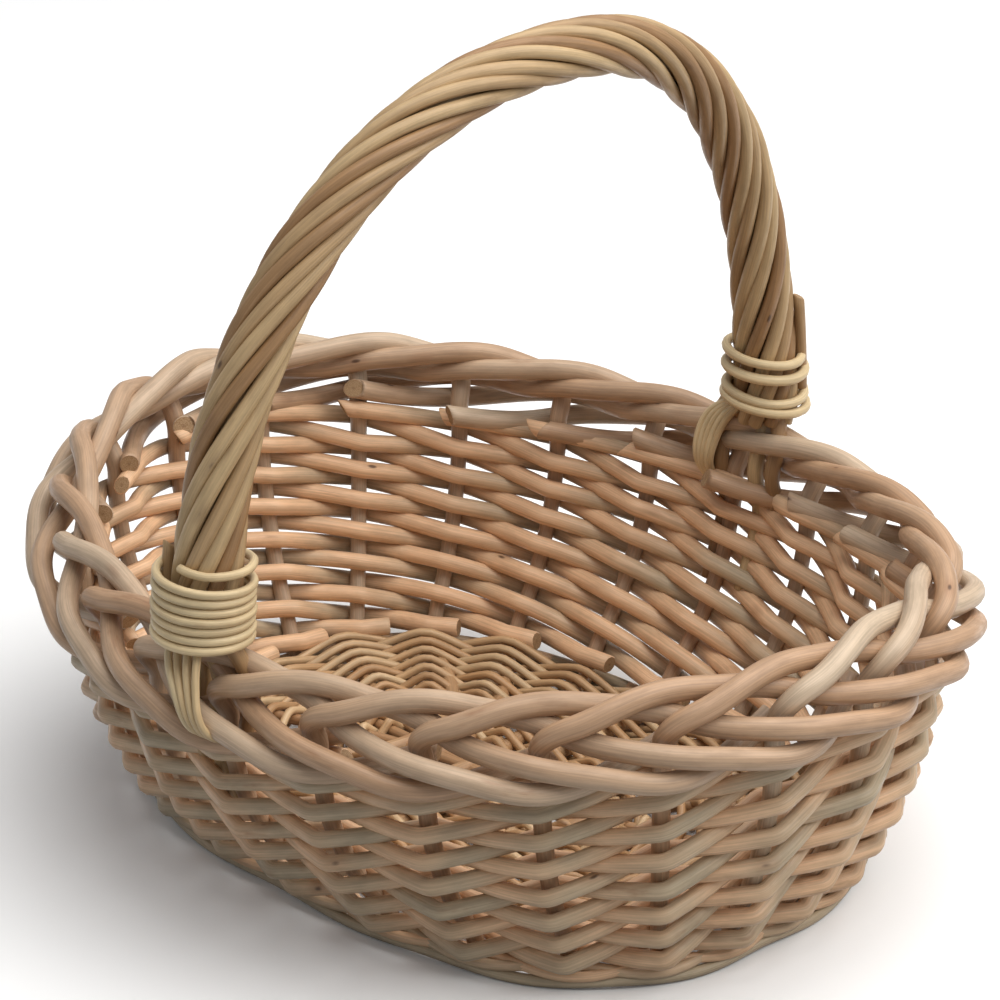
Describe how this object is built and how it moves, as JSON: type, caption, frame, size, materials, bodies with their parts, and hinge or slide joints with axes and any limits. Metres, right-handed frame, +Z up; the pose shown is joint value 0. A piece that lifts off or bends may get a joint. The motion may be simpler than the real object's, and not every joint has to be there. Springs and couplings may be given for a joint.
{
  "type": "oval shopping basket",
  "caption": "Oval woven willow shopping basket with a flat stick-and-weave base, flared siding, plaited border and a roped bow handle bound at both feet.",
  "frame": {"origin": "middle of the flat underside, on the floor, below the middle of the oval", "axes": "+X along the oval's length, +Y across it towards one handle foot, +Z up; the bow handle stands across the basket over the Y axis"},
  "size_m": [0.417, 0.3446, 0.3395],
  "materials": {
    "stake": "buff willow, peeled and boiled, satin",
    "weave": "buff willow weavers, satin, rod to rod variation",
    "base": "fine buff willow weave over thicker sticks",
    "border": "thick buff willow rods, satin, with small dark knots",
    "handle": "buff willow rods roped round a bow, greyer with handling",
    "binding": "thin pale willow rod"
  },
  "bodies": {
    "root": {"stake_01": "stake", "stake_02": "stake", "stake_03": "stake", "stake_04": "stake", "stake_05": "stake", "stake_06": "stake", "stake_07": "stake", "stake_08": "stake", "stake_09": "stake", "stake_10": "stake", "stake_11": "stake", "stake_12": "stake", "stake_13": "stake", "stake_14": "stake", "stake_15": "stake", "stake_16": "stake", "stake_17": "stake", "stake_18": "stake", "stake_19": "stake", "stake_20": "stake", "stake_21": "stake", "stake_22": "stake", "stake_23": "stake", "stake_24": "stake", "base_long_stick_01": "base", "base_long_stick_02": "base", "base_long_stick_03": "base", "base_cross_stick_01": "base", "base_cross_stick_02": "base", "base_cross_stick_03": "base", "base_cross_stick_04": "base", "base_cross_stick_05": "base", "base_cross_stick_06": "base", "base_cross_stick_07": "base", "base_weave": "base", "foot_ring": "weave", "side_weave": "weave", "border": "border", "handle_bow": "handle", "handle_rod_01": "handle", "handle_rod_02": "handle", "handle_rod_03": "handle", "handle_rod_04": "handle", "handle_rod_05": "handle", "handle_rod_06": "handle", "handle_rod_07": "handle", "handle_rod_08": "handle", "handle_rod_09": "handle", "handle_rod_10": "handle", "handle_binding_left": "binding", "handle_binding_right": "binding"}
  },
  "joints": []
}
